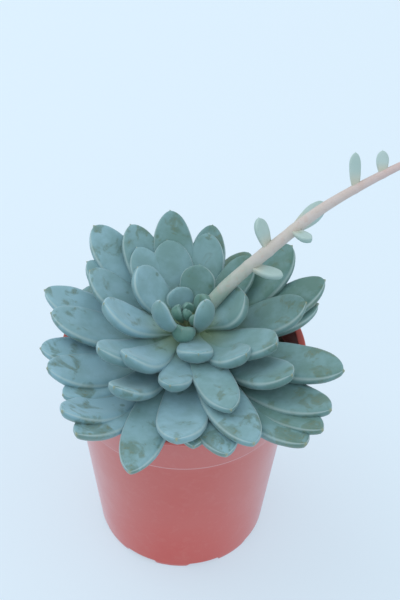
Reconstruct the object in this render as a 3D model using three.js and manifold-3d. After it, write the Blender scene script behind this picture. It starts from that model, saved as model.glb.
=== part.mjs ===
// A potted rosette succulent: fleshy blue-green leaves in a spiral round a short stem, one arching
// flower stalk with small bracts, soil, and a thin plastic nursery pot. Millimetres, +Z up.
// The origin is on the pot's axis, on the surface that the pot stands on.
import * as THREE from "three";
import { mergeVertices } from "three/addons/utils/BufferGeometryUtils.js";
import Module from "manifold-3d";

const wasm = await Module();
wasm.setup();

// ---- Pot: sizes of the thin plastic nursery pot
const POT_HEIGHT = 98.5;
const RIM_RADIUS = 49;
const LIP_WIDTH = 1.8;
const LIP_DEPTH = 2.4;
const LIP_ROUNDING = 0.5;
const BAND_HEIGHT = 22;
const BAND_FLARE = 2.7;
const BAND_STEP = 0.9;
const BASE_RADIUS = 35.8;
const WALL = 1.2;
const FLOOR_THICKNESS = 2.8;
const FOOT_COUNT = 8;
const FOOT_GAP_HEIGHT = 2.2;
const FOOT_GAP_ANGLE = 21;
const FOOT_GAP_TURN = 17;
const FOOT_DEPTH = 3.4;
const FOOT_BEVEL = 0.7;
const POT_SIDES = 56;

// ---- Soil: it fills the pot, and is a little domed at the stem
const SOIL_BELOW_RIM = 9;
const SOIL_CLEARANCE = 0.3;
const SOIL_DOME = 1.2;
const SOIL_SHOULDER = 0.6;
const SOIL_SIDES = 40;

// ---- Plant: where its stem stands in the pot, and the stem itself. Heights in the plant are measured from
// the level of the soil.
const STEM_X = 2;
const STEM_Y = 2;
const STEM_HEIGHT = 25.5;
const STEM_TIP = 0.8;
const STEM_TOP_RADIUS = 1.8;
const STEM_FOOT_RADIUS = 8;
const STEM_TAPER = 1.5;
const STEM_STEPS = 8;
const STEM_SIDES = 20;
const GAP = 0.3;

// ---- Leaves: the youngest leaf's base is the highest on the stem, and the oldest one's the lowest
const HIGHEST_LEAF = 21;
const LOWEST_LEAF = 8;
const LEAF_SIDES = 8;
const LEAF_THICKNESS = 3;
const THICKNESS_PER_WIDTH = 0.22;

// One row for each leaf, from the youngest to the oldest: the way it points round the stem (0 is +X, 90 is
// +Y), the tilt of its chord above level, its length, its widest width, and its bend, the depth of its bow
// as a share of its length. A leaf that bends above 0 curls up at the tip, and one below 0 droops.
const LEAVES = [
  [226, 62, 26, 9, 0.12],
  [307, 75, 21, 9, 0.1],
  [116, 53, 13, 11.5, 0.08],
  [279, 24, 23, 14, 0.12],
  [8, 40, 23, 18.5, 0.08],
  [149, 44, 28, 16.5, 0.08],
  [80, 46, 22, 14.5, 0.07],
  [308, 25, 34, 14, 0.12],
  [234, 25, 38, 15, 0.16],
  [261, 15, 37, 13, 0.13],
  [195, 36, 36, 16, 0.09],
  [221, 24, 43, 15.5, 0.12],
  [327, 24, 38, 17, 0.05],
  [49, 26, 35, 14, 0.05],
  [128, 30, 36, 14, 0.05],
  [107, 32, 35, 17, 0.06],
  [239, 18, 49, 15, 0.19],
  [289, 10, 46, 15, 0],
  [318, 17, 49, 17, 0.12],
  [267, 8, 57, 19.5, 0.13],
  [80, 30, 39, 15.5, 0.05],
  [149, 18, 46, 14, 0.06],
  [5, 21, 43, 17.5, 0.07],
  [158, 26, 42, 17, 0.07],
  [80, 22, 46, 15, 0.06],
  [102, 36, 48, 16.5, 0.06],
  [182, 15, 50, 18, 0.08],
  [15, 8, 48, 17, 0.04],
  [124, 34, 47, 16.5, 0.06],
  [17, 20, 53, 18, 0.07],
  [293, 6, 58, 18, 0.01],
  [137, 28, 55, 18.5, 0.06],
  [273, 1, 50, 15.5, 0.03],
  [167, 13, 55, 17, 0.05],
  [337, 11, 59, 18.5, 0.02],
  [38, 28, 51, 18, 0.05],
  [208, 13, 55, 18, 0.12],
  [229, 14, 64, 17.5, 0.16],
  [284, 4, 56, 17, 0.03],
  [193, 9, 53, 18, 0.08],
  [321, 10, 63, 18.5, 0.07],
  [308, 6, 65, 19.5, 0.05],
  [218, 9, 53, 15.5, 0.1],
  [236, 11, 65, 16.5, 0.11],
  [107, 6, 47, 15.5, 0.01],
  [64, 8, 48, 15.5, 0.01],
  [149, 5, 45, 15.5, -0.03],
  [314, 10, 66, 15.5, 0.06],
  [254, 5, 65, 17, -0.01],
];

// ---- Flower stalk: its centre line leaves the stem between two leaves and arches over to one side. Its
// points are measured from where the stem's axis meets the soil.
const STALK_PATH = [
  [3.2, 4.2, 17.5],
  [9, 6, 27.5],
  [17.5, 9, 37.5],
  [34, 14.5, 52.5],
  [52, 20.5, 66.5],
  [78, 29, 79],
  [97, 35, 84],
];
const STALK_FOOT_DIAMETER = 6.2;
const STALK_TIP_DIAMETER = 2.2;
const STALK_SIDES = 10;
const STALK_RINGS = 18;

// One row for each bract: its place along the stalk as a share, the way it points round, its tilt above
// level, its length and its width.
const BRACTS = [
  [0.265, 338, 1, 12.5, 5.4],
  [0.344, 123, 55, 12, 5.8],
  [0.444, 310, 15, 9.5, 4.8],
  [0.459, 45, 14, 15, 7],
  [0.678, 94, 57, 13, 4.8],
  [0.775, 91, 47, 8.5, 4.8],
];

const BRACT_THICKNESS_SHARE = 0.7;
const BRACT_BEND = 0.03;
const BRACT_SINK = 0.6;

// ---- Flower buds: a small nodding cluster that closes the stalk's end
const BUD_LENGTH = 7;
const BUD_WIDTH = 4.6;
const BUD_NOD = -35;
const BUD_SPREAD = 28;
const BUD_OVERLAP = 0.6;
const BUD_COUNT = 4;

const radians = THREE.MathUtils.degToRad;

// ---- Solids: three.js geometry in, manifold solids for cutting, three.js geometry out
function toSolid(geometry) {
  const bare = geometry.index ? geometry.toNonIndexed() : geometry.clone();
  bare.deleteAttribute("normal");
  bare.deleteAttribute("uv");
  const merged = mergeVertices(bare, 1e-3);
  return new wasm.Manifold(
    new wasm.Mesh({
      numProp: 3,
      vertProperties: merged.attributes.position.array,
      triVerts: new Uint32Array(merged.index.array),
    }),
  );
}

function toGeometry(solid) {
  const mesh = solid.getMesh();
  const positions = new Float32Array(mesh.numVert * 3);
  for (let i = 0; i < mesh.numVert; i++) {
    positions.set(mesh.vertProperties.subarray(i * mesh.numProp, i * mesh.numProp + 3), i * 3);
  }
  const geometry = new THREE.BufferGeometry();
  geometry.setAttribute("position", new THREE.BufferAttribute(positions, 3));
  geometry.setIndex(new THREE.BufferAttribute(new Uint32Array(mesh.triVerts), 1));
  geometry.computeVertexNormals();
  return geometry;
}

function largestPiece(solid) {
  return solid.decompose().reduce((a, b) => (b.volume() > a.volume() ? b : a));
}

// A lathe round +Z from [radius, height] pairs, which start and end on the axis.
function lathe(profile, sides) {
  const points = profile.map(([r, z]) => new THREE.Vector2(r, z));
  return new THREE.LatheGeometry(points, sides).rotateX(Math.PI / 2);
}

// ---- Pot
const bandFoot = POT_HEIGHT - BAND_HEIGHT;
const bandRadius = RIM_RADIUS - LIP_WIDTH - BAND_FLARE;
const bodyTopRadius = bandRadius - BAND_STEP;
const bodyRadiusAt = (z) => BASE_RADIUS + (bodyTopRadius - BASE_RADIUS) * (z / bandFoot);
const innerTopRadius = RIM_RADIUS - LIP_WIDTH - WALL;

function potGeometry() {
  let pot = toSolid(
    lathe(
      [
        [0, 0],
        [BASE_RADIUS - FOOT_BEVEL, 0],
        [bodyRadiusAt(FOOT_BEVEL), FOOT_BEVEL],
        [bodyTopRadius, bandFoot],
        [bandRadius, bandFoot + BAND_STEP],
        [RIM_RADIUS - LIP_WIDTH, POT_HEIGHT - LIP_DEPTH],
        [RIM_RADIUS, POT_HEIGHT - LIP_DEPTH + LIP_ROUNDING],
        [RIM_RADIUS, POT_HEIGHT - LIP_ROUNDING],
        [RIM_RADIUS - LIP_ROUNDING, POT_HEIGHT],
        [innerTopRadius + LIP_ROUNDING, POT_HEIGHT],
        [innerTopRadius, POT_HEIGHT - LIP_ROUNDING],
        [bandRadius - WALL, bandFoot + BAND_STEP],
        [bodyTopRadius - WALL, bandFoot],
        [bodyRadiusAt(FLOOR_THICKNESS) - WALL, FLOOR_THICKNESS],
        [0, FLOOR_THICKNESS],
      ],
      POT_SIDES,
    ),
  );
  const gapWidth = 2 * BASE_RADIUS * Math.sin(radians(FOOT_GAP_ANGLE / 2));
  for (let i = 0; i < FOOT_COUNT; i++) {
    const gap = new THREE.BoxGeometry(FOOT_DEPTH * 2, gapWidth, FOOT_GAP_HEIGHT * 2)
      .translate(BASE_RADIUS, 0, 0)
      .rotateZ(radians(FOOT_GAP_TURN + (360 / FOOT_COUNT) * i));
    pot = pot.subtract(toSolid(gap));
  }
  return toGeometry(pot);
}

// ---- Soil
const soilTop = POT_HEIGHT - SOIL_BELOW_RIM;

function soilGeometry() {
  const inside = WALL + SOIL_CLEARANCE;
  const floorTop = FLOOR_THICKNESS + SOIL_CLEARANCE;
  const edgeRadius = bandRadius - inside + SOIL_SHOULDER;
  return lathe(
    [
      [0, floorTop],
      [bodyRadiusAt(floorTop) - inside, floorTop],
      [bodyTopRadius - inside, bandFoot],
      [bandRadius - inside, bandFoot + BAND_STEP],
      [edgeRadius, soilTop - SOIL_SHOULDER],
      [edgeRadius * 0.6, soilTop + SOIL_DOME / 2],
      [STEM_FOOT_RADIUS * 1.5, soilTop + SOIL_DOME],
      [0, soilTop + SOIL_DOME],
    ],
    SOIL_SIDES,
  );
}

// ---- Plant frame: everything that grows is made round the stem's axis, with the level of the soil at zero
const toPlant = (geometry) => geometry.translate(-STEM_X, -STEM_Y, -soilTop);

// The ring of space round the flared band, a gap wider all round, that the leaves keep out of.
function rimGuardGeometry() {
  const ring = [
    [bandRadius - WALL - GAP, bandFoot],
    [RIM_RADIUS + GAP, bandFoot],
    [RIM_RADIUS + GAP, POT_HEIGHT + GAP],
    [innerTopRadius - GAP, POT_HEIGHT + GAP],
  ];
  const points = [...ring, ring[0]].map(([r, z]) => new THREE.Vector2(r, z));
  return toPlant(new THREE.LatheGeometry(points, POT_SIDES).rotateX(Math.PI / 2));
}

// ---- Stem: a short cone that the leaves stand on, with the youngest leaves closed over its tip
const stemFoot = SOIL_DOME + GAP;
const stemRadiusAt = (z) => {
  const share = THREE.MathUtils.clamp((z - stemFoot) / (STEM_HEIGHT - stemFoot), 0, 1);
  return STEM_FOOT_RADIUS + (STEM_TOP_RADIUS - STEM_FOOT_RADIUS) * share ** STEM_TAPER;
};

function stemGeometry(grow) {
  const profile = [[0, stemFoot]];
  for (let i = 0; i <= STEM_STEPS; i++) {
    const z = stemFoot + ((STEM_HEIGHT - stemFoot) * i) / STEM_STEPS;
    profile.push([stemRadiusAt(z) + grow, z]);
  }
  profile.push([0, STEM_HEIGHT + STEM_TIP + grow]);
  return lathe(profile, STEM_SIDES);
}

// ---- Lofts: a closed skin over rings of points, with a point at each end
function loft(firstPoint, rings, lastPoint) {
  const sides = rings[0].length;
  const positions = [firstPoint, ...rings.flat(), lastPoint].flatMap((p) => [p.x, p.y, p.z]);
  const ring = (i, k) => 1 + i * sides + (k % sides);
  const last = rings.length - 1;
  const index = [];
  for (let k = 0; k < sides; k++) {
    index.push(0, ring(0, k + 1), ring(0, k));
    for (let i = 0; i < last; i++) {
      index.push(ring(i, k), ring(i, k + 1), ring(i + 1, k + 1));
      index.push(ring(i, k), ring(i + 1, k + 1), ring(i + 1, k));
    }
    index.push(ring(last, k), ring(last, k + 1), ring(last + 1, 0));
  }
  const geometry = new THREE.BufferGeometry();
  geometry.setAttribute("position", new THREE.BufferAttribute(new Float32Array(positions), 3));
  geometry.setIndex(index);
  return geometry;
}

// ---- Leaf: it lies along +X from its base, with its upper face to +Z, narrow at the base and widest at
// two thirds of its length. The upper face is flatter than the back.
const WIDEST_AT = 0.62;
const BASE_WIDTH_SHARE = 0.42;
const TIP_FULLNESS = 2.6;
const TIP_BLUNTNESS = 0.62;
const UPPER_SHARE = 0.7;
const LEAF_STATIONS = [0, 0.16, 0.36, 0.56, 0.72, 0.86, 0.95];

function widthShare(t) {
  if (t < WIDEST_AT) {
    const rise = (1 - Math.cos((Math.PI * t) / WIDEST_AT)) / 2;
    return BASE_WIDTH_SHARE + (1 - BASE_WIDTH_SHARE) * rise;
  }
  const past = (t - WIDEST_AT) / (1 - WIDEST_AT);
  return (1 - past ** TIP_FULLNESS) ** TIP_BLUNTNESS;
}

// A bract is nearly the same width all along, with round ends.
function fingerShare(t) {
  return (0.62 + 0.38 * Math.sin(Math.PI * Math.min(1, t / 1.3))) * (1 - t ** 5) ** 0.5;
}

function leafGeometry(length, width, thickness, bend, sides, grow, outline = widthShare) {
  const rings = LEAF_STATIONS.map((t) => {
    const half = (width / 2) * outline(t) + grow;
    const deep = (thickness / 2) * Math.sqrt(outline(t)) + grow;
    const middle = -4 * bend * length * t * (1 - t);
    return Array.from({ length: sides }, (_, k) => {
      const a = (2 * Math.PI * k) / sides;
      const share = Math.sin(a) > 0 ? UPPER_SHARE : 2 - UPPER_SHARE;
      return new THREE.Vector3(t * length, Math.cos(a) * half, middle + Math.sin(a) * deep * share);
    });
  });
  return loft(new THREE.Vector3(-grow, 0, 0), rings, new THREE.Vector3(length + grow, 0, 0));
}

function placedLeaf([azimuth, tilt, length, width, bend], order, grow) {
  const baseZ = HIGHEST_LEAF - ((HIGHEST_LEAF - LOWEST_LEAF) * order) / (LEAVES.length - 1);
  const thickness = LEAF_THICKNESS + THICKNESS_PER_WIDTH * width;
  return leafGeometry(length, width, thickness, bend, LEAF_SIDES, grow)
    .rotateY(-radians(tilt))
    .translate(stemRadiusAt(baseZ) + GAP, 0, baseZ)
    .rotateZ(radians(azimuth));
}

// ---- Flower stalk: round, and tapering from its foot to its tip
const stalkCurve = new THREE.CatmullRomCurve3(STALK_PATH.map((p) => new THREE.Vector3(...p)));
const stalkRadiusAt = (share) =>
  (STALK_FOOT_DIAMETER + (STALK_TIP_DIAMETER - STALK_FOOT_DIAMETER) * share) / 2;

function stalkGeometry(grow) {
  const frames = stalkCurve.computeFrenetFrames(STALK_RINGS, false);
  const rings = [];
  for (let i = 0; i <= STALK_RINGS; i++) {
    const share = i / STALK_RINGS;
    const centre = stalkCurve.getPointAt(share);
    const radius = stalkRadiusAt(share) + grow;
    rings.push(
      Array.from({ length: STALK_SIDES }, (_, k) => {
        const a = (2 * Math.PI * k) / STALK_SIDES;
        return centre
          .clone()
          .addScaledVector(frames.normals[i], Math.cos(a) * radius)
          .addScaledVector(frames.binormals[i], Math.sin(a) * radius);
      }),
    );
  }
  const first = stalkCurve.getPointAt(0).addScaledVector(frames.tangents[0], -grow);
  const last = stalkCurve.getPointAt(1).addScaledVector(frames.tangents[STALK_RINGS], grow);
  return loft(first, rings, last);
}

// ---- Bracts: small leaves on the stalk, each cut to sit on its skin
function bractGeometry([share, azimuth, tilt, length, width]) {
  const foot = stalkCurve.getPointAt(share);
  return leafGeometry(length, width, width * BRACT_THICKNESS_SHARE, BRACT_BEND, LEAF_SIDES, 0, fingerShare)
    .translate(stalkRadiusAt(share) * BRACT_SINK, 0, 0)
    .rotateY(-radians(tilt))
    .rotateZ(radians(azimuth))
    .translate(foot.x, foot.y, foot.z);
}

// ---- Flower buds: drops that hang from one point
function budSolid() {
  const foot = stalkCurve.getPointAt(1);
  const heading = stalkCurve.getTangentAt(1);
  const azimuth = Math.atan2(heading.y, heading.x);
  let cluster = null;
  for (let i = 0; i < BUD_COUNT; i++) {
    const around = (2 * Math.PI * i) / BUD_COUNT;
    const drop = new THREE.SphereGeometry(BUD_WIDTH / 2, 8, 6)
      .scale(BUD_LENGTH / BUD_WIDTH, 1, 1)
      .translate(BUD_LENGTH / 2 - BUD_OVERLAP, 0, 0)
      .rotateY(-radians(BUD_NOD + BUD_SPREAD * Math.sin(around)))
      .rotateZ(azimuth + radians(BUD_SPREAD * Math.cos(around)))
      .translate(foot.x, foot.y, foot.z);
    cluster = cluster ? cluster.add(toSolid(drop)) : toSolid(drop);
  }
  return cluster;
}

// ---- Materials
const material = (color, roughness) => new THREE.MeshStandardMaterial({ color, roughness, metalness: 0 });
const POT_PLASTIC = material(0xb9605a, 0.55);
const SOIL = material(0x3a2c24, 0.95);
const STEM_SKIN = material(0x8ea58c, 0.7);
const LEAF_SKIN = material(0x7f9f9f, 0.6);
const STALK_SKIN = material(0xc9bdb8, 0.6);
const BRACT_SKIN = material(0x9fc4b8, 0.6);
const BUD_SKIN = material(0xc0a8a4, 0.6);

// ---- Assembly: the plant stands in the soil, a little off the pot's axis. The leaves are placed from the
// youngest to the oldest, and each is cut a small gap clear of the pot, the stem, the stalk and every
// younger leaf. A leaf's mesh is turned to the way that it points.
const potted = new THREE.Group();
const plant = new THREE.Group();
plant.position.set(STEM_X, STEM_Y, soilTop);
potted.add(plant);

function addMesh(group, name, geometry, skin, azimuth = 0) {
  const mesh = new THREE.Mesh(geometry.rotateZ(-radians(azimuth)), skin);
  mesh.name = name;
  mesh.rotation.z = radians(azimuth);
  group.add(mesh);
}

addMesh(potted, "pot", potGeometry(), POT_PLASTIC);
addMesh(potted, "soil", soilGeometry(), SOIL);
addMesh(plant, "stem", stemGeometry(0), STEM_SKIN);

const grownStem = toSolid(stemGeometry(GAP));
const grownStalk = toSolid(stalkGeometry(GAP));
const grownRim = toSolid(rimGuardGeometry());
const stalk = largestPiece(toSolid(stalkGeometry(0)).subtract(grownStem));
addMesh(plant, "flower_stalk", toGeometry(stalk), STALK_SKIN);
BRACTS.forEach((row, i) => {
  const solid = toSolid(bractGeometry(row)).subtract(grownStalk);
  addMesh(plant, `bract_${i + 1}`, toGeometry(largestPiece(solid)), BRACT_SKIN);
});
addMesh(plant, "flower_buds", toGeometry(largestPiece(budSolid().subtract(grownStalk))), BUD_SKIN);

const younger = [];
LEAVES.forEach((row, order) => {
  const whole = toSolid(placedLeaf(row, order, 0));
  const keepOut = [grownStem, grownStalk, grownRim, ...younger];
  const leaf = largestPiece(keepOut.reduce((rest, cutter) => rest.subtract(cutter), whole));
  younger.push(toSolid(placedLeaf(row, order, GAP)));
  addMesh(plant, `leaf_${String(order + 1).padStart(2, "0")}`, toGeometry(leaf), LEAF_SKIN, row[0]);
});

export default potted;
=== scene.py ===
import math
import random

import bpy
from mathutils import Matrix, Vector, noise


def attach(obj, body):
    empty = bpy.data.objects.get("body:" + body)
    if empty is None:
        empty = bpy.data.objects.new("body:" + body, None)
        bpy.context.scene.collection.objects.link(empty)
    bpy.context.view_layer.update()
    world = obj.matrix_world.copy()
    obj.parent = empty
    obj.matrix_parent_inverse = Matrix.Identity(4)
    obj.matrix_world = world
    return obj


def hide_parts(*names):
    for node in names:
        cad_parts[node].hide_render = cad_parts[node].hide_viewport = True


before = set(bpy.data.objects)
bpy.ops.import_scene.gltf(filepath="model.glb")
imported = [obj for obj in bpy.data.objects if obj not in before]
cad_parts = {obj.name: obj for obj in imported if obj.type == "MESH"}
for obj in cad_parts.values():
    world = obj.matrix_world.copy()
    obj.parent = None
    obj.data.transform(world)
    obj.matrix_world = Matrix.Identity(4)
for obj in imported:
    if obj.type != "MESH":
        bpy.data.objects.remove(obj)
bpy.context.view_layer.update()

# ---- Camera
# A short telephoto, held above the plant and tipped down at it, with a slight roll.
LOOK_AT = Vector((0.0059, 0.0, 0.12535))
CAMERA_DISTANCE = 0.495
CAMERA_ELEVATION = math.radians(43.8)
CAMERA_ROLL = math.radians(1.5)

lens = bpy.data.cameras.new("camera")
lens.lens = 77.3
lens.sensor_width = 36.0
lens.clip_start = 0.01
lens.clip_end = 20.0
camera = bpy.data.objects.new("camera", lens)
bpy.context.scene.collection.objects.link(camera)
backward = Vector((0.0, -math.cos(CAMERA_ELEVATION), math.sin(CAMERA_ELEVATION)))
aim = (-backward).to_track_quat("-Z", "Y").to_matrix() @ Matrix.Rotation(CAMERA_ROLL, 3, "Z")
camera.matrix_world = Matrix.Translation(LOOK_AT + backward * CAMERA_DISTANCE) @ aim.to_4x4()
bpy.context.scene.camera = camera

# ---- Floor and light
# A sheet of pale blue-white paper on a table by a bright window: light comes from all round, a little
# more of it from high on the left, so that the shadows are wide and faint.
FLOOR_HALF = 3.0
FLOOR_COLOR = (0.30, 0.36, 0.41)
FLOOR_GLOW_COLOR = (0.72, 0.865, 0.985)
FLOOR_GLOW = 0.55
PAPER_MOTTLE = 0.985
SKY_COLOR = (0.93, 0.97, 1.0)
SKY_STRENGTH = 0.92


def mesh_object(name, points, faces, smooth=True):
    mesh = bpy.data.meshes.new(name)
    mesh.from_pydata(points, [], faces)
    mesh.validate()
    mesh.polygons.foreach_set("use_smooth", [smooth] * len(mesh.polygons))
    piece = bpy.data.objects.new(name, mesh)
    bpy.context.scene.collection.objects.link(piece)
    return piece


def new_material(name):
    material = bpy.data.materials.new(name)
    material.use_nodes = True
    tree = material.node_tree
    return material, tree, tree.nodes["Principled BSDF"]


def add_node(tree, kind, inputs=None, **settings):
    node = tree.nodes.new(kind)
    for key, value in settings.items():
        setattr(node, key, value)
    for key, value in (inputs or {}).items():
        socket = node.inputs[key]
        if isinstance(value, bpy.types.NodeSocket):
            tree.links.new(value, socket)
        else:
            socket.default_value = value
    return node


def mix_colors(tree, share, first, second):
    node = add_node(tree, "ShaderNodeMix", data_type="RGBA")
    for socket, value in ((node.inputs[0], share), (node.inputs[6], first), (node.inputs[7], second)):
        if isinstance(value, bpy.types.NodeSocket):
            tree.links.new(value, socket)
        elif isinstance(value, tuple):
            socket.default_value = (*value[:3], 1.0)
        else:
            socket.default_value = value
    return node.outputs[2]


def calculate(tree, operation, first, second, clamp=False):
    node = add_node(tree, "ShaderNodeMath", {0: first, 1: second}, operation=operation, use_clamp=clamp)
    return node.outputs[0]


def remap(tree, value, low, high, out_low=0.0, out_high=1.0):
    inputs = {"Value": value, "From Min": low, "From Max": high, "To Min": out_low, "To Max": out_high}
    return add_node(tree, "ShaderNodeMapRange", inputs, interpolation_type="SMOOTHSTEP").outputs[0]


def share_of(tree, value, share):
    return calculate(tree, "MULTIPLY", value, share)


def add_noise(tree, place, scale, detail, roughness, distortion=0.0):
    inputs = {"Vector": place, "Scale": scale, "Detail": detail}
    inputs |= {"Roughness": roughness, "Distortion": distortion}
    return add_node(tree, "ShaderNodeTexNoise", inputs).outputs[0]


def add_relief(tree, skin, height, strength, depth):
    inputs = {"Strength": strength, "Distance": depth, "Height": height}
    tree.links.new(add_node(tree, "ShaderNodeBump", inputs).outputs[0], skin.inputs["Normal"])


corners = [(-1, -1), (1, -1), (1, 1), (-1, 1)]
floor = mesh_object("floor", [(x * FLOOR_HALF, y * FLOOR_HALF, 0) for x, y in corners], [(0, 1, 2, 3)])
paper, tree, skin = new_material("pale_paper")
place = add_node(tree, "ShaderNodeTexCoord").outputs["Object"]
mottle = add_noise(tree, place, 4.0, 2.0, 0.5)
darker = tuple(v * PAPER_MOTTLE for v in FLOOR_COLOR)
tree.links.new(mix_colors(tree, mottle, FLOOR_COLOR, darker), skin.inputs["Base Color"])
skin.inputs["Roughness"].default_value = 0.9
skin.inputs["Emission Color"].default_value = (*FLOOR_GLOW_COLOR, 1.0)
skin.inputs["Emission Strength"].default_value = FLOOR_GLOW
floor.data.materials.append(paper)

world = bpy.data.worlds.new("sky")
world.use_nodes = True
world.node_tree.nodes["Background"].inputs[0].default_value = (*SKY_COLOR, 1.0)
world.node_tree.nodes["Background"].inputs[1].default_value = SKY_STRENGTH
bpy.context.scene.world = world
bpy.context.scene.view_settings.view_transform = "Standard"

# name: position, size, power, colour
LAMPS = {
    "window": ((-0.75, 0.35, 1.15), 1.1, 4.5, (1.0, 0.98, 0.95)),
    "room_fill": ((0.7, -0.6, 0.9), 1.2, 0.8, (0.92, 0.96, 1.0)),
}
for lamp_name, (spot, size, power, tint) in LAMPS.items():
    lamp = bpy.data.lights.new(lamp_name, "AREA")
    lamp.size = size
    lamp.energy = power
    lamp.color = tint
    lamp_object = bpy.data.objects.new(lamp_name, lamp)
    lamp_object.location = spot
    lamp_object.rotation_euler = (LOOK_AT - Vector(spot)).to_track_quat("-Z", "Y").to_euler()
    bpy.context.scene.collection.objects.link(lamp_object)

# ---- Pot
# A thin nursery pot, injection moulded in brick-red polypropylene. A flared band with a
# rolled lip stiffens its rim, and notches round the base leave eight feet for water to drain between.
MM = 0.001
POT_HEIGHT = 98.5
RIM_RADIUS = 49
LIP_WIDTH = 1.8
LIP_DEPTH = 2.4
BAND_HEIGHT = 22
BAND_FLARE = 2.7
BAND_STEP = 0.9
BODY_TOP_RADIUS = RIM_RADIUS - LIP_WIDTH - BAND_FLARE - BAND_STEP
BASE_RADIUS = 35.8
WALL = 1.2
FLOOR_THICKNESS = 2.8
FOOT_COUNT = 8
FOOT_GAP_HEIGHT = 2.2
FOOT_GAP_ANGLE = 21.0
FOOT_GAP_TURN = 17.0
FOOT_GAP_EASE = 0.8
FOOT_DEPTH = 3.4
FOOT_BEVEL = 0.7
FOOT_INSET = 0.2
MIDDLE = 0.5
POT_SEGMENTS = 240
POT_COLOR = (0.51, 0.078, 0.062)
POT_DEEP_COLOR = (0.56, 0.052, 0.034)
# The pale pink is the colour of the dust clouds and also of the painted sheen at the pot's outline.
POT_DUST_AND_SHEEN_COLOR = (0.62, 0.32, 0.31)
POT_EDGE_PAINTED_SHEEN = 0.62
POT_SCUFF_COLOR = (0.66, 0.40, 0.36)


def revolve(name, profile, segments, shape=None):
    """Turns (radius, height) pairs in millimetres round +Z. shape(radius, height, degrees) may move them."""
    points, faces = [], []
    for r, z in profile:
        for k in range(segments):
            degrees = 360.0 * k / segments
            rr, zz = shape(r, z, degrees) if shape else (r, z)
            a = math.radians(degrees)
            points.append((rr * math.cos(a) * MM, rr * math.sin(a) * MM, zz * MM))
    for i in range(len(profile) - 1):
        low, high = i * segments, (i + 1) * segments
        for k in range(segments):
            j = (k + 1) % segments
            faces.append((low + k, low + j, high + j, high + k))
    faces.append(tuple(reversed(range(segments))))
    faces.append(tuple(range((len(profile) - 1) * segments, len(profile) * segments)))
    return mesh_object(name, points, faces)


def rounded(corners, steps=4):
    """Rounds a profile: each corner is (radius, height, rounding)."""
    out = []
    for i, (r, z, rounding) in enumerate(corners):
        here = Vector((r, z))
        if rounding == 0 or i in (0, len(corners) - 1):
            out.append((r, z))
            continue
        before = Vector(corners[i - 1][:2]) - here
        after = Vector(corners[i + 1][:2]) - here
        start = here + before.normalized() * min(rounding, before.length * 0.48)
        end = here + after.normalized() * min(rounding, after.length * 0.48)
        for k in range(steps + 1):
            t = k / steps
            out.append(tuple(start * (1 - t) ** 2 + here * 2 * t * (1 - t) + end * t**2))
    return out


def body_radius(z):
    return BASE_RADIUS + (BODY_TOP_RADIUS - BASE_RADIUS) * z / (POT_HEIGHT - BAND_HEIGHT)


def foot_gaps(r, z, degrees):
    """Lifts the edge of the base between the feet."""
    from_gap = (degrees - FOOT_GAP_TURN + 180.0 / FOOT_COUNT) % (360.0 / FOOT_COUNT) - 180.0 / FOOT_COUNT
    share = (FOOT_GAP_ANGLE / 2 + FOOT_GAP_EASE - abs(from_gap)) / (2 * FOOT_GAP_EASE)
    share = min(1.0, max(0.0, share))
    if z < FOOT_GAP_HEIGHT and r > BASE_RADIUS - FOOT_DEPTH - FOOT_INSET:
        z += (FOOT_GAP_HEIGHT - z) * share
    return r, z


band_foot = POT_HEIGHT - BAND_HEIGHT
band_radius = BODY_TOP_RADIUS + BAND_STEP
inner_top = RIM_RADIUS - LIP_WIDTH - WALL
# The outline from the middle of the underside, up the outside, over the lip and down the inside: the
# radius, height and rounding of each corner. The points that lie on a straight wall keep it smooth.
pot_profile = rounded(
    [
        (MIDDLE, 0.0, 0),
        (BASE_RADIUS - FOOT_DEPTH - 0.3, 0.0, 0),
        (BASE_RADIUS - FOOT_DEPTH, 0.0, 0),
        (BASE_RADIUS - FOOT_INSET, 0.0, FOOT_BEVEL),
        (body_radius(FOOT_GAP_HEIGHT), FOOT_GAP_HEIGHT, 0),
        (body_radius(FOOT_GAP_HEIGHT + 0.15), FOOT_GAP_HEIGHT + 0.15, 0),
        (body_radius(FOOT_GAP_HEIGHT + 1.0), FOOT_GAP_HEIGHT + 1.0, 0),
        (body_radius(12.0), 12.0, 0),
        (body_radius(30.0), 30.0, 0),
        (body_radius(50.0), 50.0, 0),
        (body_radius(band_foot - 3.0), band_foot - 3.0, 0),
        (BODY_TOP_RADIUS, band_foot, 0.7),
        (band_radius, band_foot + BAND_STEP, 0.7),
        (RIM_RADIUS - LIP_WIDTH, POT_HEIGHT - LIP_DEPTH, 0.6),
        (RIM_RADIUS, POT_HEIGHT - LIP_DEPTH + 0.4, 0.5),
        (RIM_RADIUS, POT_HEIGHT, 0.8),
        (inner_top, POT_HEIGHT, 0.6),
        (band_radius - WALL, band_foot + BAND_STEP, 0.8),
        (BODY_TOP_RADIUS - WALL, band_foot, 0.8),
        (body_radius(FLOOR_THICKNESS) - WALL, FLOOR_THICKNESS, 1.0),
        (MIDDLE, FLOOR_THICKNESS, 0),
    ]
)
pot = revolve("nursery_pot", pot_profile, POT_SEGMENTS, foot_gaps)

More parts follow.
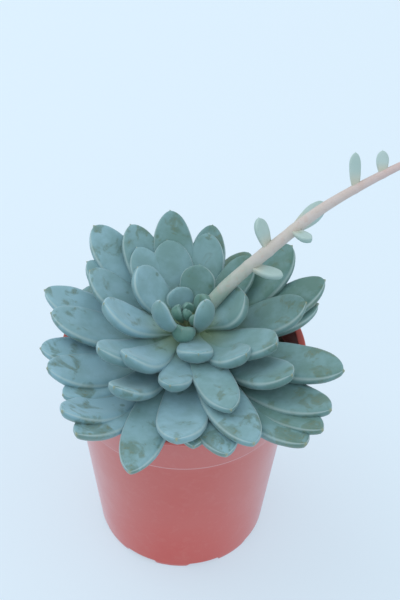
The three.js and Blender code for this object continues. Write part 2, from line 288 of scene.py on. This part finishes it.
# Dust and rubbing, as on any plastic or waxy skin that is handled: soft clouds and fine scratches.
GRAIN_SCALE = 2600.0
handling = bpy.data.node_groups.new("handling_wear", "ShaderNodeTree")
handling.interface.new_socket("Cloud Scale", in_out="INPUT", socket_type="NodeSocketFloat")
handling.interface.new_socket("Speck Scale", in_out="INPUT", socket_type="NodeSocketFloat")
handling.interface.new_socket("Clouds", in_out="OUTPUT", socket_type="NodeSocketFloat")
handling.interface.new_socket("Specks", in_out="OUTPUT", socket_type="NodeSocketFloat")
handling.interface.new_socket("Grain", in_out="OUTPUT", socket_type="NodeSocketFloat")
group_in = add_node(handling, "NodeGroupInput")
place = add_node(handling, "ShaderNodeTexCoord").outputs["Object"]
clouds = add_noise(handling, place, group_in.outputs["Cloud Scale"], 4.0, 0.6)
specks = add_noise(handling, place, group_in.outputs["Speck Scale"], 3.0, 0.7, 0.4)
marks = {
    "Clouds": remap(handling, clouds, 0.35, 0.68),
    "Specks": remap(handling, specks, 0.52, 0.66),
    "Grain": add_noise(handling, place, GRAIN_SCALE, 2.0, 0.6),
}
add_node(handling, "NodeGroupOutput", marks)


def add_handling(tree, cloud_scale, speck_scale):
    inputs = {"Cloud Scale": cloud_scale, "Speck Scale": speck_scale}
    return add_node(tree, "ShaderNodeGroup", inputs, node_tree=handling)


plastic, tree, skin = new_material("brick_red_plastic")
wear = add_handling(tree, 45.0, 260.0)
place = add_node(tree, "ShaderNodeTexCoord").outputs["Object"]
height = add_node(tree, "ShaderNodeSeparateXYZ", {0: place}).outputs["Z"]
color = mix_colors(tree, remap(tree, height, 0.005, 0.07), POT_DEEP_COLOR, POT_COLOR)
color = mix_colors(tree, share_of(tree, wear.outputs["Clouds"], 0.14), color, POT_DUST_AND_SHEEN_COLOR)
color = mix_colors(tree, share_of(tree, wear.outputs["Specks"], 0.05), color, POT_SCUFF_COLOR)
# Painted sheen: towards the pot's outline, where its surface turns away from the camera, the colour is mixed
# towards pale pink, less so near the foot.
grazing = add_node(tree, "ShaderNodeLayerWeight", {"Blend": 0.5}).outputs["Facing"]
painted_sheen = remap(tree, grazing, 0.33, 0.95, 0.0, POT_EDGE_PAINTED_SHEEN)
low_down = remap(tree, height, 0.0, 0.05, 0.5, 1.0)
color = mix_colors(tree, share_of(tree, painted_sheen, low_down), color, POT_DUST_AND_SHEEN_COLOR)
tree.links.new(color, skin.inputs["Base Color"])
tree.links.new(remap(tree, wear.outputs["Clouds"], 0.0, 1.0, 0.42, 0.58), skin.inputs["Roughness"])
add_relief(tree, skin, wear.outputs["Grain"], 0.12, 0.0002)
skin.inputs["Sheen Weight"].default_value = 0.62
skin.inputs["Sheen Roughness"].default_value = 0.30
skin.inputs["Sheen Tint"].default_value = (0.80, 0.88, 1.0, 1.0)
pot.data.materials.append(plastic)
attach(pot, "root")
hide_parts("pot")

# ---- Soil
# Dark potting mix that fills the pot to just below the rim: peat crumbs, bits of bark and a few grains
# of pale grit, lying loose on a lumpy bed.
SOIL_BELOW_RIM = 9.0
SOIL_CLEARANCE = 0.3
SOIL_RINGS = 26
SOIL_SEGMENTS = 110
SOIL_SETTLING = 0.8
SOIL_DOME = 1.0
SOIL_SIDE_GAP = 0.5
SOIL_SPREAD = 0.6
LUMP_PITCH, LUMP_HEIGHT = 0.16, 0.7
CRUMB_PITCH, CRUMB_HEIGHT = 0.7, 0.45
CRUMB_COUNT = 520
CRUMB_SIZES = (0.5, 1.5)
PEAT_COLOR = (0.030, 0.018, 0.012)
BARK_COLOR = (0.105, 0.064, 0.040)
GRIT_COLOR = (0.26, 0.21, 0.16)
soil_top = POT_HEIGHT - SOIL_BELOW_RIM
soil_edge = band_radius - WALL - SOIL_CLEARANCE + SOIL_SPREAD


def soil_height(x, y):
    lumps = noise.noise(Vector((x * LUMP_PITCH, y * LUMP_PITCH, 3.0))) * LUMP_HEIGHT
    crumbs = noise.noise(Vector((x * CRUMB_PITCH, y * CRUMB_PITCH, 8.0))) * CRUMB_HEIGHT
    dome = SOIL_DOME * (1 - min(1.0, math.hypot(x, y) / soil_edge))
    return soil_top - SOIL_SETTLING + dome + lumps + crumbs


def lump(centre, size, turn, points, faces):
    """One crumb: an octahedron with its corners pushed about."""
    first = len(points)
    corners = [(1, 0, 0), (-1, 0, 0), (0, 1, 0), (0, -1, 0), (0, 0, 1), (0, 0, -1)]
    for i, corner in enumerate(corners):
        push = 0.75 + 0.5 * noise.cell(Vector((centre[0] * 3.1 + i, centre[1] * 2.7, turn)))
        point = Matrix.Rotation(turn, 3, (0.3, 0.5, 0.8)) @ Vector(corner) * size * push
        points.append(tuple((Vector(centre) + point) * MM))
    for a, b, c in ((0, 2, 4), (2, 1, 4), (1, 3, 4), (3, 0, 4), (2, 0, 5), (1, 2, 5), (3, 1, 5), (0, 3, 5)):
        faces.append((first + a, first + b, first + c))


points, faces = [(0.0, 0.0, soil_height(0, 0) * MM)], []
for i in range(1, SOIL_RINGS + 1):
    r = soil_edge * i / SOIL_RINGS
    for k in range(SOIL_SEGMENTS):
        a = 2 * math.pi * k / SOIL_SEGMENTS
        x, y = r * math.cos(a), r * math.sin(a)
        points.append((x * MM, y * MM, soil_height(x, y) * MM))
soil_sides = [
    (band_radius - WALL - SOIL_SIDE_GAP, band_foot + 1.0),
    (body_radius(40) - WALL - SOIL_SIDE_GAP, 40.0),
    (body_radius(4) - 2, 3.4),
]
for r, z in soil_sides:
    for k in range(SOIL_SEGMENTS):
        a = 2 * math.pi * k / SOIL_SEGMENTS
        points.append((r * math.cos(a) * MM, r * math.sin(a) * MM, z * MM))
for k in range(SOIL_SEGMENTS):
    faces.append((0, 1 + k, 1 + (k + 1) % SOIL_SEGMENTS))
for i in range(SOIL_RINGS + 2):
    for k in range(SOIL_SEGMENTS):
        j = (k + 1) % SOIL_SEGMENTS
        near, far = 1 + i * SOIL_SEGMENTS, 1 + (i + 1) * SOIL_SEGMENTS
        faces.append((near + k, far + k, far + j, near + j))
last = 1 + (SOIL_RINGS + 2) * SOIL_SEGMENTS
faces.append(tuple(last + k for k in reversed(range(SOIL_SEGMENTS))))
rng = random.Random(11)
for i in range(CRUMB_COUNT):
    r = soil_edge * math.sqrt(rng.uniform(0.04, 0.93))
    a = rng.uniform(0, 2 * math.pi)
    size = rng.uniform(*CRUMB_SIZES)
    x, y = r * math.cos(a), r * math.sin(a)
    lump((x, y, soil_height(x, y) + size * 0.3), size, rng.uniform(0, 6.0), points, faces)
soil = mesh_object("potting_soil", points, faces, smooth=False)

peat, tree, skin = new_material("potting_mix")
place = add_node(tree, "ShaderNodeTexCoord").outputs["Object"]
crumb = add_node(tree, "ShaderNodeTexVoronoi", {"Vector": place, "Scale": 420.0}).outputs["Color"]
tone = add_node(tree, "ShaderNodeSeparateColor", {0: crumb}).outputs[0]
fibre = add_noise(tree, place, 900.0, 4.0, 0.5)
color = mix_colors(tree, fibre, PEAT_COLOR, BARK_COLOR)
color = mix_colors(tree, remap(tree, tone, 0.90, 0.97), color, GRIT_COLOR)
tree.links.new(color, skin.inputs["Base Color"])
tree.links.new(remap(tree, fibre, 0.2, 0.8, 0.98, 0.75), skin.inputs["Roughness"])
add_relief(tree, skin, fibre, 0.8, 0.0008)
soil.data.materials.append(peat)
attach(soil, "root")
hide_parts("soil")

# ---- Leaf skin
# Every green part of the plant has a fleshy, water-filled skin under a pale dusting of wax. The wax
# rubs off where leaves are touched, and shows the greener, glossier skin below.
LEAF_SKIN_COLOR = (0.080, 0.150, 0.095)
LEAF_THIN_WAX_AND_SHADE_COLOR = (0.100, 0.215, 0.190)
LEAF_BLOOM_COLOR = (0.262, 0.462, 0.548)
LEAF_EDGE_COLOR = (0.43, 0.58, 0.58)
LEAF_BASE_COLOR = (0.23, 0.34, 0.19)
LEAF_POINT_COLOR = (0.30, 0.33, 0.20)
LEAF_SCAR_COLOR = (0.150, 0.180, 0.095)
PATCH_SCALE = 125.0
DENT_SCALE = 95.0


def leaf_attribute(tree, name):
    return add_node(tree, "ShaderNodeAttribute", attribute_name=name).outputs["Fac"]


def waxy_material(name, colors, rub, roughness):
    """colors: rubbed skin, thin wax (also painted as shade on the lower face), thick wax, edge, foot, point,
    scar. rub: how worn its tip is.
    """
    rubbed, thin, thick, edge, foot, point, scar = colors
    material, tree, skin = new_material(name)
    wear = add_handling(tree, 110.0, 620.0)
    along = leaf_attribute(tree, "along")
    rim = leaf_attribute(tree, "rim")
    age = leaf_attribute(tree, "age")
    upper = leaf_attribute(tree, "upper")
    place = add_node(tree, "ShaderNodeTexCoord").outputs["Object"]
    # Painted side light: the per-leaf value read here mixes the wax with painted light, lighter on leaves
    # that point to the front left.
    bloom_and_side_light = leaf_attribute(tree, "bloom_and_side_light")
    patches = add_noise(tree, place, PATCH_SCALE, 5.0, 0.58, 0.4)
    wax_and_side_light = share_of(tree, wear.outputs["Clouds"], 0.3)
    wax_and_side_light = calculate(tree, "ADD", share_of(tree, bloom_and_side_light, 0.85), wax_and_side_light, clamp=True)
    color = mix_colors(tree, wax_and_side_light, thin, thick)
    color = mix_colors(tree, remap(tree, along, 0.52, 0.0), color, foot)
    # Painted shade: the lower face is painted towards the darker thin-wax colour.
    color = mix_colors(tree, share_of(tree, remap(tree, upper, 0.15, -0.5), 0.45), color, thin)
    near_point = remap(tree, along, 0.5, 0.95)
    age_share = calculate(tree, "POWER", age, 0.8)
    rubbing = share_of(tree, share_of(tree, near_point, age_share), 0.2 * rub)
    threshold = calculate(tree, "ADD", patches, rubbing)
    rubbed_share = remap(tree, threshold, 0.61, 0.73)
    color = mix_colors(tree, share_of(tree, rubbed_share, 0.55), color, rubbed)
    flecks = share_of(tree, wear.outputs["Specks"], share_of(tree, rubbed_share, 0.6))
    color = mix_colors(tree, flecks, color, scar)
    cells = add_node(tree, "ShaderNodeTexVoronoi", {"Vector": place, "Scale": DENT_SCALE})
    cell_tone = add_node(tree, "ShaderNodeSeparateColor", {0: cells.outputs["Color"]}).outputs[0]
    chosen = remap(tree, cell_tone, 0.80, 0.84)
    dents = share_of(tree, remap(tree, cells.outputs["Distance"], 0.13, 0.07), chosen)
    color = mix_colors(tree, share_of(tree, dents, 0.55), color, rubbed)
    color = mix_colors(tree, share_of(tree, rim, 0.8), color, edge)
    color = mix_colors(tree, remap(tree, along, 0.982, 1.0), color, point)
    tree.links.new(color, skin.inputs["Base Color"])
    gloss = mix_colors(tree, rubbed_share, (roughness,) * 3, (roughness - 0.18,) * 3)
    tree.links.new(gloss, skin.inputs["Roughness"])
    relief = calculate(tree, "ADD", share_of(tree, wear.outputs["Grain"], 0.35), patches)
    add_relief(tree, skin, calculate(tree, "SUBTRACT", relief, dents), 0.22, 0.0004)
    skin.inputs["Specular IOR Level"].default_value = 0.35
    skin.inputs["Sheen Weight"].default_value = 0.25
    skin.inputs["Sheen Roughness"].default_value = 0.5
    skin.inputs["Sheen Tint"].default_value = (0.82, 0.93, 1.0, 1.0)
    return material


leaf_marks = (LEAF_EDGE_COLOR, LEAF_BASE_COLOR, LEAF_POINT_COLOR, LEAF_SCAR_COLOR)
leaf_skin = waxy_material(
    "glaucous_leaf", (LEAF_SKIN_COLOR, LEAF_THIN_WAX_AND_SHADE_COLOR, LEAF_BLOOM_COLOR) + leaf_marks, 1.0, 0.56
)

# ---- Stem
# A short green stem, thick at the soil and thin at the top, ringed with the scars of fallen leaves.
STEM_X = 2.0
STEM_Y = 2.0
STEM_TOP = 115.0
STEM_TOP_RADIUS = 1.8
STEM_FOOT_RADIUS = 8.0
STEM_TAPER = 1.5
STEM_CLEARANCE = 0.3
STEM_RAISED = 1.2
STEM_BURIED = 1.5
STEM_RINGS = 26
STEM_SIDES = 40
STEM_SCARS = 0.5
STEM_RIDGES = 0.25
STEM_COLOR = (0.20, 0.26, 0.13)
STEM_PALE_COLOR = (0.33, 0.36, 0.22)
STEM_SCAR_COLOR = (0.26, 0.19, 0.12)
stem_foot = soil_top + STEM_RAISED + STEM_CLEARANCE
stem_start = stem_foot - STEM_BURIED


def stem_radius(z):
    share = min(1.0, max(0.0, (z - stem_foot) / (STEM_TOP - stem_foot)))
    return STEM_FOOT_RADIUS + (STEM_TOP_RADIUS - STEM_FOOT_RADIUS) * share**STEM_TAPER


def scarred(r, z, degrees):
    a = math.radians(degrees)
    scar = noise.noise(Vector((math.cos(a) * 2, math.sin(a) * 2, z * 0.35)))
    return r + STEM_SCARS * scar + STEM_RIDGES * math.sin(z * 2.2 + a), z


stem_levels = [stem_start + i * (STEM_TOP - stem_start) / STEM_RINGS for i in range(STEM_RINGS + 1)]
stem_profile = [(stem_radius(z), z) for z in stem_levels] + [(0.4, STEM_TOP + 0.6)]
stem = revolve("short_stem", stem_profile, STEM_SIDES, scarred)
stem.data.transform(Matrix.Translation((STEM_X * MM, STEM_Y * MM, 0)))
bark, tree, skin = new_material("green_stem")
wear = add_handling(tree, 160.0, 500.0)
color = mix_colors(tree, wear.outputs["Clouds"], STEM_COLOR, STEM_PALE_COLOR)
color = mix_colors(tree, wear.outputs["Specks"], color, STEM_SCAR_COLOR)
tree.links.new(color, skin.inputs["Base Color"])
tree.links.new(remap(tree, wear.outputs["Clouds"], 0.0, 1.0, 0.55, 0.75), skin.inputs["Roughness"])
add_relief(tree, skin, wear.outputs["Clouds"], 0.4, 0.0004)
stem.data.materials.append(bark)
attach(stem, "root")
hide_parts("stem")

# ---- Leaves
# Fleshy, spoon-shaped leaves in a tight rosette. Each is narrow at the stem, widest at six tenths of its
# length and drawn to a small hard point, with a gently domed upper face, a full round back and pale edges.
HIGHEST_LEAF_Z = 110.5
LOWEST_LEAF_Z = 97.5
LEAF_THICKNESS = 3
THICKNESS_PER_WIDTH = 0.22
WIDEST_AT = 0.62
BASE_WIDTH_SHARE = 0.42
TIP_FULLNESS = 2.6
TIP_BLUNTNESS = 0.62
UPPER_SHARE = 0.7
SHOULDER = math.sin(math.radians(58))
RIM_HEIGHT = 0.24
RIM_SPREAD = 0.13
POINT_LENGTH = 0.35
POINT_WIDTH_SHARE = 0.045
SIDE_BOW = 0.02
LEAF_TWIST = 0.12
LEAF_DISH = 0.10
LEAF_KEEL = 0.16
DENT_DEPTH = 0.26
FINE_DENT_DEPTH = 0.08
LEAF_GRID = (34, 28)
# From the youngest leaf to the oldest: the way it points, its tilt, length, width and bend.
LEAVES = [
    (226, 62, 26, 9, 0.12),
    (307, 75, 21, 9, 0.1),
    (116, 53, 13, 11.5, 0.08),
    (279, 24, 23, 14, 0.12),
    (8, 40, 23, 18.5, 0.08),
    (149, 44, 28, 16.5, 0.08),
    (80, 46, 22, 14.5, 0.07),
    (308, 25, 34, 14, 0.12),
    (234, 25, 38, 15, 0.16),
    (261, 15, 37, 13, 0.13),
    (195, 36, 36, 16, 0.09),
    (221, 24, 43, 15.5, 0.12),
    (327, 24, 38, 17, 0.05),
    (49, 26, 35, 14, 0.05),
    (128, 30, 36, 14, 0.05),
    (107, 32, 35, 17, 0.06),
    (239, 18, 49, 15, 0.19),
    (289, 10, 46, 15, 0),
    (318, 17, 49, 17, 0.12),
    (267, 8, 57, 19.5, 0.13),
    (80, 30, 39, 15.5, 0.05),
    (149, 18, 46, 14, 0.06),
    (5, 21, 43, 17.5, 0.07),
    (158, 26, 42, 17, 0.07),
    (80, 22, 46, 15, 0.06),
    (102, 36, 48, 16.5, 0.06),
    (182, 15, 50, 18, 0.08),
    (15, 8, 48, 17, 0.04),
    (124, 34, 47, 16.5, 0.06),
    (17, 20, 53, 18, 0.07),
    (293, 6, 58, 18, 0.01),
    (137, 28, 55, 18.5, 0.06),
    (273, 1, 50, 15.5, 0.03),
    (167, 13, 55, 17, 0.05),
    (337, 11, 59, 18.5, 0.02),
    (38, 28, 51, 18, 0.05),
    (208, 13, 55, 18, 0.12),
    (229, 14, 64, 17.5, 0.16),
    (284, 4, 56, 17, 0.03),
    (193, 9, 53, 18, 0.08),
    (321, 10, 63, 18.5, 0.07),
    (308, 6, 65, 19.5, 0.05),
    (218, 9, 53, 15.5, 0.1),
    (236, 11, 65, 16.5, 0.11),
    (107, 6, 47, 15.5, 0.01),
    (64, 8, 48, 15.5, 0.01),
    (149, 5, 45, 15.5, -0.03),
    (314, 10, 66, 15.5, 0.06),
    (254, 5, 65, 17, -0.01),
]


def width_share(t):
    if t < WIDEST_AT:
        rise = (1 - math.cos(math.pi * t / WIDEST_AT)) / 2
        return BASE_WIDTH_SHARE + (1 - BASE_WIDTH_SHARE) * rise
    past = min(1.0, (t - WIDEST_AT) / (1 - WIDEST_AT))
    return max(0.0, 1 - past**TIP_FULLNESS) ** TIP_BLUNTNESS


def leaf_mesh(name, length, width, thickness, bend, seed, age, bloom_and_side_light, grid=LEAF_GRID, outline=width_share):
    """A leaf along +X from its base, in millimetres, its upper face to +Z. grid is its rings and sides."""
    rings, sides = grid
    rng = random.Random(seed)
    point_length = 0.004 + POINT_LENGTH / length
    side_bow = rng.uniform(-SIDE_BOW, SIDE_BOW) * length
    twist = rng.uniform(-LEAF_TWIST, LEAF_TWIST)
    dish = rng.uniform(0.0, LEAF_DISH) * thickness
    offset = Vector((seed * 7.3, seed * 3.1, 0.0))
    points, faces = [], []
    marks = {"along": [], "rim": [], "upper": []}

    def put(x, y, z, along, rim, upper):
        points.append((x, y, z))
        marks["along"].append(along)
        marks["rim"].append(rim)
        marks["upper"].append(upper)

    put(0.0, 0.0, 0.0, 0.0, 0.0, 0.0)
    for i in range(rings + 1):
        t = (1 - math.cos(math.pi * (i + 0.6) / (rings + 1))) / 2
        body = min(1.0, t / (1 - point_length))
        point_share = POINT_WIDTH_SHARE * (1 - t) / point_length if t > 1 - 2 * point_length else 0.0
        share = max(outline(body), point_share)
        half = width / 2 * share
        deep = thickness / 2 * math.sqrt(share)
        for k in range(sides):
            a = 2 * math.pi * k / sides
            c, s = math.cos(a), math.sin(a)
            y = math.copysign(abs(c) ** 0.9, c) * half
            if s > 0:
                shoulder = 1 - (1 - min(1.0, s / SHOULDER)) ** 2.2
                z = deep * UPPER_SHARE * shoulder - dish * max(0.0, s - SHOULDER) / (1 - SHOULDER) * share
            else:
                keel = LEAF_KEEL * (1 - abs(c)) ** 2 * t * t
                z = -deep * (2 - UPPER_SHARE) * (abs(s) ** 0.9 + keel)
            z += math.sin(twist * t) * y
            here = Vector((t * length * 0.11, y * 0.16, s)) + offset
            dent = noise.noise(here) * DENT_DEPTH + noise.noise(here * 2.7) * FINE_DENT_DEPTH
            out = Vector((0.0, c, s)) * dent * min(1.0, share * 1.5)
            middle = -4 * bend * length * t * (1 - t)
            bow = side_bow * 4 * t * (1 - t)
            rim = max(0.0, 1 - abs(s - RIM_HEIGHT) / RIM_SPREAD)
            put(t * length, y + bow + out.y, middle + z + out.z, t, rim, s)
    put(length, 0.0, 0.0, 1.0, 0.0, 0.0)

    def ring(i, k):
        return 1 + i * sides + k % sides

    for k in range(sides):
        faces.append((0, ring(0, k + 1), ring(0, k)))
        for i in range(rings):
            faces.append((ring(i, k), ring(i, k + 1), ring(i + 1, k + 1), ring(i + 1, k)))
        faces.append((ring(rings, k), ring(rings, k + 1), len(points) - 1))
    leaf = mesh_object(name, [tuple(v * MM for v in p) for p in points], faces)
    marks["age"] = [age] * len(points)
    marks["bloom_and_side_light"] = [bloom_and_side_light] * len(points)
    for mark, values in marks.items():
        leaf.data.attributes.new(mark, "FLOAT", "POINT").data.foreach_set("value", values)
    return leaf


def set_in_place(leaf, azimuth, tilt, start, reach=0.0):
    """Turns a leaf to its tilt and azimuth and moves its base reach millimetres out from start."""
    turn = Matrix.Rotation(math.radians(azimuth), 4, "Z") @ Matrix.Translation((reach * MM, 0, 0))
    turn = turn @ Matrix.Rotation(-math.radians(tilt), 4, "Y")
    leaf.data.transform(Matrix.Translation(Vector(start) * MM) @ turn)


# Painted side light: the leaves that point to the front left are painted lighter and those at the back right
# darker, more so on the older leaves, as if lit from that side. The wax is thin on the oldest ones.
PAINTED_LIGHT_SIDE = 212.0
BLOOM_MEAN = 0.44
PAINTED_SIDE_LIGHT = 0.24
PAINTED_SIDE_LIGHT_OF_OLD = 0.42
BLOOM_SPREAD = 0.14
BLOOM_WEAR = 1.0
WORN_AGE = 0.7
bloom_rng = random.Random(5)
for order, (azimuth, tilt, length, width, bend) in enumerate(LEAVES):
    base_z = HIGHEST_LEAF_Z - (HIGHEST_LEAF_Z - LOWEST_LEAF_Z) * order / (len(LEAVES) - 1)
    thickness = LEAF_THICKNESS + THICKNESS_PER_WIDTH * width
    node = f"leaf_{order + 1:02d}"
    age = order / len(LEAVES)
    # Painted side light: lighter on the leaves that point to the front left, darker at the back right.
    lit = math.cos(math.radians(azimuth - PAINTED_LIGHT_SIDE))
    worn = BLOOM_WEAR * max(0.0, age - WORN_AGE)
    bloom_and_side_light = BLOOM_MEAN + (PAINTED_SIDE_LIGHT + PAINTED_SIDE_LIGHT_OF_OLD * age) * lit - worn
    bloom_and_side_light += bloom_rng.uniform(-BLOOM_SPREAD, BLOOM_SPREAD)
    leaf = leaf_mesh(f"fleshy_{node}", length, width, thickness, bend, order + 1, age, bloom_and_side_light)
    set_in_place(leaf, azimuth, tilt, (STEM_X, STEM_Y, base_z), stem_radius(base_z) + STEM_CLEARANCE)
    leaf.data.materials.append(leaf_skin)
    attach(leaf, "root")
    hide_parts(node)

# ---- Crown
# The growing point: the youngest leaves, only a few millimetres long, stand packed upright together.
# The way each points, its tilt, length, width, and how far out and how high its base is.
CROWN_LEAVES = [
    (42, 60, 11.5, 7.5, 2.4, 111.5),
    (188, 70, 9.0, 6.0, 2.0, 112.0),
    (305, 66, 8.5, 6.0, 2.0, 112.0),
    (256, 44, 12.0, 9.5, 3.2, 110.0),
    (110, 78, 7.0, 4.6, 0.8, 113.0),
    (240, 80, 6.5, 4.2, 0.9, 113.5),
]
CROWN_THIN_WAX_AND_SHADE_COLOR = (0.110, 0.245, 0.200)
CROWN_BLOOM_COLOR = (0.195, 0.375, 0.385)
CROWN_GRID = (18, 18)
CROWN_BEND = 0.05
CROWN_THICKNESS_SHARE = 0.7
crown_skin = waxy_material(
    "crown_leaf", (LEAF_SKIN_COLOR, CROWN_THIN_WAX_AND_SHADE_COLOR, CROWN_BLOOM_COLOR) + leaf_marks, 0.3, 0.5
)
for i, (azimuth, tilt, length, width, out, base_z) in enumerate(CROWN_LEAVES):
    thickness = width * CROWN_THICKNESS_SHARE
    name = f"crown_leaf_{i + 1}"
    leaf = leaf_mesh(name, length, width, thickness, CROWN_BEND, 60 + i, 0.0, 0.1, CROWN_GRID)
    set_in_place(leaf, azimuth, tilt, (STEM_X, STEM_Y, base_z), out)
    leaf.data.materials.append(crown_skin)
    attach(leaf, "root")

# ---- Flower stalk
# One round, waxy stalk grows from between the leaves and arches to the side: pale green at its foot
# and pinkish beige further out, with a faint joint at each bract.
STALK_PATH = [
    (5.2, 6.2, 107),
    (11, 8, 117),
    (19.5, 11, 127),
    (36, 16.5, 142),
    (54, 22.5, 156),
    (80, 31, 168.5),
    (99, 37, 173.5),
]
STALK_FOOT_DIAMETER = 6.2
STALK_TIP_DIAMETER = 2.2
STALK_RINGS = 150
STALK_SIDES = 24
CURVE_STEPS = 40
JOINT_LENGTH = 0.008
JOINT_SWELLING = 0.07
STALK_WAVINESS = 0.03
STALK_FOOT_COLOR = (0.25, 0.40, 0.34)
STALK_COLOR = (0.53, 0.50, 0.46)
STALK_TIP_COLOR = (0.56, 0.43, 0.42)
STALK_WAX_COLOR = (0.60, 0.56, 0.58)
STALK_FLECK_COLOR = (0.50, 0.33, 0.27)
# The bracts, at each of which the stalk has a joint: its place along the stalk, the way it points, its
# tilt, length and width.
BRACTS = [
    (0.265, 338, 1, 12.5, 5.4),
    (0.344, 123, 55, 12, 5.8),
    (0.444, 310, 15, 9.5, 4.8),
    (0.459, 45, 14, 15, 7),
    (0.678, 94, 57, 13, 4.8),
    (0.775, 91, 47, 8.5, 4.8),
]


def smooth_path(corners, steps):
    """A Catmull-Rom curve through the corners, as evenly spaced points."""
    ends = [Vector(corners[0]) * 2 - Vector(corners[1])] + [Vector(c) for c in corners]
    ends.append(Vector(corners[-1]) * 2 - Vector(corners[-2]))
    fine = []
    for i in range(1, len(ends) - 2):
        p0, p1, p2, p3 = ends[i - 1 : i + 3]
        for k in range(CURVE_STEPS):
            t = k / CURVE_STEPS
            bend = (2 * p0 - 5 * p1 + 4 * p2 - p3) * t**2 + (3 * p1 - p0 - 3 * p2 + p3) * t**3
            fine.append(0.5 * (2 * p1 + (p2 - p0) * t + bend))
    fine.append(ends[-2])
    lengths = [0.0]
    for a, b in zip(fine, fine[1:]):
        lengths.append(lengths[-1] + (b - a).length)
    out, j = [], 0
    for i in range(steps + 1):
        target = lengths[-1] * i / steps
        while j < len(fine) - 2 and lengths[j + 1] < target:
            j += 1
        share = (target - lengths[j]) / max(1e-9, lengths[j + 1] - lengths[j])
        out.append(fine[j].lerp(fine[j + 1], min(1.0, share)))
    return out


stalk_line = smooth_path(STALK_PATH, STALK_RINGS)


def stalk_radius(share):
    return (STALK_FOOT_DIAMETER + (STALK_TIP_DIAMETER - STALK_FOOT_DIAMETER) * share) / 2


points, faces, along = [], [], []
for i, centre in enumerate(stalk_line):
    share = i / STALK_RINGS
    heading = (stalk_line[min(i + 1, STALK_RINGS)] - stalk_line[max(i - 1, 0)]).normalized()
    side = heading.cross(Vector((0, 0, 1))).normalized()
    over = side.cross(heading)
    joint = sum(math.exp(-(((share - row[0]) / JOINT_LENGTH) ** 2)) for row in BRACTS)
    swelling = JOINT_SWELLING * joint + STALK_WAVINESS * noise.noise(centre * 0.12)
    radius = stalk_radius(share) * (1 + swelling)
    for k in range(STALK_SIDES):
        a = 2 * math.pi * k / STALK_SIDES
        points.append(tuple((centre + (side * math.cos(a) + over * math.sin(a)) * radius) * MM))
        along.append(share)
for i in range(STALK_RINGS):
    near, far = i * STALK_SIDES, (i + 1) * STALK_SIDES
    for k in range(STALK_SIDES):
        j = (k + 1) % STALK_SIDES
        faces.append((near + k, near + j, far + j, far + k))
faces.append(tuple(reversed(range(STALK_SIDES))))
faces.append(tuple(STALK_RINGS * STALK_SIDES + k for k in range(STALK_SIDES)))
stalk = mesh_object("arching_flower_stalk", points, faces)
stalk.data.attributes.new("along", "FLOAT", "POINT").data.foreach_set("value", along)

stalk_skin, tree, skin = new_material("pinkish_stalk")
wear = add_handling(tree, 200.0, 420.0)
along = leaf_attribute(tree, "along")
color = mix_colors(tree, remap(tree, along, 0.02, 0.42), STALK_FOOT_COLOR, STALK_COLOR)
color = mix_colors(tree, remap(tree, along, 0.4, 0.95), color, STALK_TIP_COLOR)
color = mix_colors(tree, share_of(tree, wear.outputs["Clouds"], 0.35), color, STALK_WAX_COLOR)
color = mix_colors(tree, share_of(tree, wear.outputs["Specks"], 0.25), color, STALK_FLECK_COLOR)
tree.links.new(color, skin.inputs["Base Color"])
tree.links.new(remap(tree, wear.outputs["Clouds"], 0.0, 1.0, 0.45, 0.62), skin.inputs["Roughness"])
add_relief(tree, skin, wear.outputs["Clouds"], 0.15, 0.0003)
stalk.data.materials.append(stalk_skin)
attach(stalk, "root")
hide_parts("flower_stalk")

# ---- Bracts
# Small finger-like leaves, mint green and waxed like the large ones, set one by one along the stalk.
BRACT_THICKNESS_SHARE = 0.7
BRACT_BEND = 0.03
BRACT_START = 0.6
BRACT_GRID = (26, 20)
BRACT_COLORS = (
    (0.20, 0.36, 0.24),
    (0.27, 0.44, 0.40),
    (0.42, 0.56, 0.56),
    (0.50, 0.64, 0.60),
    (0.48, 0.50, 0.42),
    (0.24, 0.40, 0.26),
    (0.30, 0.34, 0.18),
)
bract_skin = waxy_material("minty_bract", BRACT_COLORS, 0.5, 0.55)


def finger_share(t):
    """A bract is nearly the same width all along, with round ends."""
    return (0.62 + 0.38 * math.sin(math.pi * min(1.0, t / 1.3))) * max(0.0, 1 - t**5) ** 0.5


for i, (share, azimuth, tilt, length, width) in enumerate(BRACTS):
    foot = stalk_line[round(share * STALK_RINGS)]
    name, thickness = f"stalk_bract_{i + 1}", width * BRACT_THICKNESS_SHARE
    bract = leaf_mesh(name, length, width, thickness, BRACT_BEND, 80 + i, 0.15, 0.8, BRACT_GRID, finger_share)
    bract.data.transform(Matrix.Translation((stalk_radius(share) * BRACT_START * MM, 0, 0)))
    set_in_place(bract, azimuth, tilt, foot)
    bract.data.materials.append(bract_skin)
    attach(bract, "root")
    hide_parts(f"bract_{i + 1}")

# ---- Flower buds
# A small nodding cluster of closed buds ends the stalk, pink-green and no bigger than a pea.
BUD_LENGTH = 7.0
BUD_WIDTH = 4.6
BUD_NOD = -35.0
BUD_SPREAD = 28.0
BUD_COUNT = 4
BUD_THICKNESS_SHARE = 0.9
BUD_GRID = (18, 18)
BUD_COLORS = (
    (0.40, 0.28, 0.22),
    (0.42, 0.38, 0.32),
    (0.56, 0.46, 0.44),
    (0.62, 0.52, 0.50),
    (0.36, 0.44, 0.32),
    (0.62, 0.30, 0.24),
    (0.40, 0.24, 0.18),
)
bud_skin = waxy_material("young_bud", BUD_COLORS, 0.4, 0.5)
heading = stalk_line[-1] - stalk_line[-2]
stalk_azimuth = math.degrees(math.atan2(heading.y, heading.x))
for i in range(BUD_COUNT):
    around = 2 * math.pi * i / BUD_COUNT
    name, thickness = f"closed_bud_{i + 1}", BUD_WIDTH * BUD_THICKNESS_SHARE
    bud = leaf_mesh(name, BUD_LENGTH, BUD_WIDTH, thickness, 0.0, 90 + i, 0.1, 0.5, BUD_GRID)
    tilt = BUD_NOD + BUD_SPREAD * math.sin(around)
    set_in_place(bud, stalk_azimuth + BUD_SPREAD * math.cos(around), tilt, stalk_line[-1])
    bud.data.materials.append(bud_skin)
    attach(bud, "root")
    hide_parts("flower_buds")
